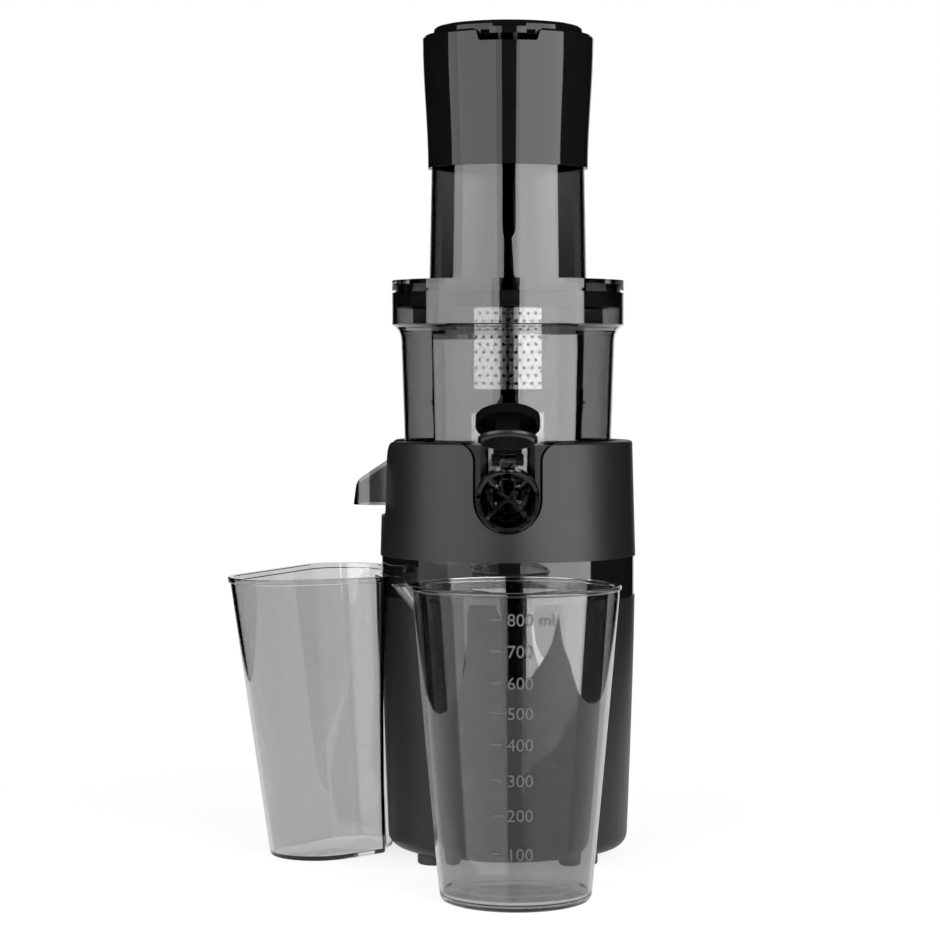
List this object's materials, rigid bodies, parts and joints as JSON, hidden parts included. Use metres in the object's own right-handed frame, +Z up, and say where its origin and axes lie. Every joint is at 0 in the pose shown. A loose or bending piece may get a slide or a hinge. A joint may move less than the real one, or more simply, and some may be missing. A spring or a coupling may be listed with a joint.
{
  "type": "cold press juicer",
  "caption": "Upright slow juicer: motor base, lift-off bowl with strainer, auger, capped spout, lid with feed tube and hopper, cup and pulp container.",
  "frame": {"origin": "on the resting plane of the four feet, on the machine axis", "axes": "+Z up along the machine axis, the juice spout faces -Y, the pulp spout faces -X"},
  "size_m": [0.2185, 0.2571, 0.4469],
  "materials": {
    "soft_grey": "soft-touch matte",
    "collar_grey": "fine matte",
    "gloss_black": "polished",
    "smoky_clear": "smoky clear plastic, polished",
    "cup_clear": "smoky clear plastic, polished",
    "strainer_plastic": "polished",
    "screen_steel": "perforated sheet",
    "auger_plastic": "satin",
    "black_rubber": "matte",
    "seal_silicone": "satin silicone",
    "steel": "turned",
    "motor_steel": "zinc",
    "gear_nylon": "moulded",
    "case_plastic": "moulded",
    "board_green": "lacquered"
  },
  "bodies": {
    "drive_unit": {"base_housing": "soft_grey", "glossy_band": "gloss_black", "collar": "collar_grey", "bowl_seat": "gloss_black", "bottom_cover": "case_plastic", "rubber_feet": "black_rubber", "base_screws": "steel", "motor_can": "motor_steel", "gearbox_case": "case_plastic", "gearbox_cover": "case_plastic", "idler_axle": "steel", "shaft_bearings": "steel", "shaft_seal": "black_rubber", "control_board": "board_green", "switch_bezel": "gloss_black", "cord_gland": "black_rubber"},
    "motor_rotor": {"motor_shaft": "steel", "cooling_fan": "case_plastic"},
    "idler": {"idler_gear": "gear_nylon"},
    "output_drive": {"output_gear": "gear_nylon", "drive_shaft": "steel"},
    "power_rocker": {"rocker_switch": "gloss_black"},
    "bowl": {"juice_bowl": "smoky_clear", "bowl_seal": "seal_silicone", "hinge_pin": "steel", "strainer_frame": "strainer_plastic", "coarse_screens": "screen_steel", "fine_screens": "screen_steel"},
    "spout_cap": {"drip_cap": "gloss_black", "drip_seal": "seal_silicone"},
    "press_screw": {"auger": "auger_plastic"},
    "feed_lid": {"lid": "smoky_clear", "feed_tube": "smoky_clear", "lid_gasket": "black_rubber"},
    "feed_hopper": {"hopper": "gloss_black"},
    "hopper_cap": {"hopper_lid": "gloss_black"},
    "cup": {"juice_cup": "cup_clear"},
    "bin": {"pulp_container": "cup_clear"}
  },
  "joints": [
    {"name": "drive_spin", "type": "hinge", "parent": "drive_unit", "child": "output_drive", "pos_m": [0, 0, 0.12], "axis": [0, 0, 1], "continuous": true},
    {"name": "idler_spin", "type": "hinge", "parent": "drive_unit", "child": "idler", "pos_m": [0, -0.03199, 0.1], "axis": [0, 0, 1], "continuous": true},
    {"name": "motor_spin", "type": "hinge", "parent": "drive_unit", "child": "motor_rotor", "pos_m": [0, 0, 0.06], "axis": [0, 0, 1], "continuous": true},
    {"name": "rocker_tilt", "type": "hinge", "parent": "drive_unit", "child": "power_rocker", "pos_m": [0, 0.06367, 0.114], "axis": [1, 0, 0], "range_deg": [-8, 8]},
    {"name": "bowl_lift", "type": "slide", "parent": "drive_unit", "child": "bowl", "axis": [0, 0, 1], "range_m": [0, 0.12]},
    {"name": "auger_spin", "type": "hinge", "parent": "bowl", "child": "press_screw", "pos_m": [0, 0, 0.2], "axis": [0, 0, 1], "continuous": true},
    {"name": "cap_close", "type": "hinge", "parent": "bowl", "child": "spout_cap", "pos_m": [0, -0.08, 0.217], "axis": [1, 0, 0], "range_deg": [0, 118.5]},
    {"name": "lid_turn", "type": "hinge", "parent": "bowl", "child": "feed_lid", "pos_m": [0, 0, 0.306], "axis": [0, 0, 1], "range_deg": [0, 30]},
    {"name": "hopper_lift", "type": "slide", "parent": "feed_lid", "child": "feed_hopper", "axis": [0, 0, 1], "range_m": [0, 0.1]},
    {"name": "hopper_lid_lift", "type": "slide", "parent": "feed_hopper", "child": "hopper_cap", "axis": [0, 0, 1], "range_m": [0, 0.06]},
    {"name": "cup_pull", "type": "slide", "parent": "drive_unit", "child": "cup", "axis": [0, -1, 0], "range_m": [0, 0.15]},
    {"name": "bin_pull", "type": "slide", "parent": "drive_unit", "child": "bin", "axis": [-1, 0, 0], "range_m": [0, 0.1]}
  ],
  "couplings": [
    {"joint": "drive_spin", "follows": "auger_spin", "ratio": 1},
    {"joint": "idler_spin", "follows": "auger_spin", "ratio": -3},
    {"joint": "motor_spin", "follows": "auger_spin", "ratio": 10.714}
  ]
}
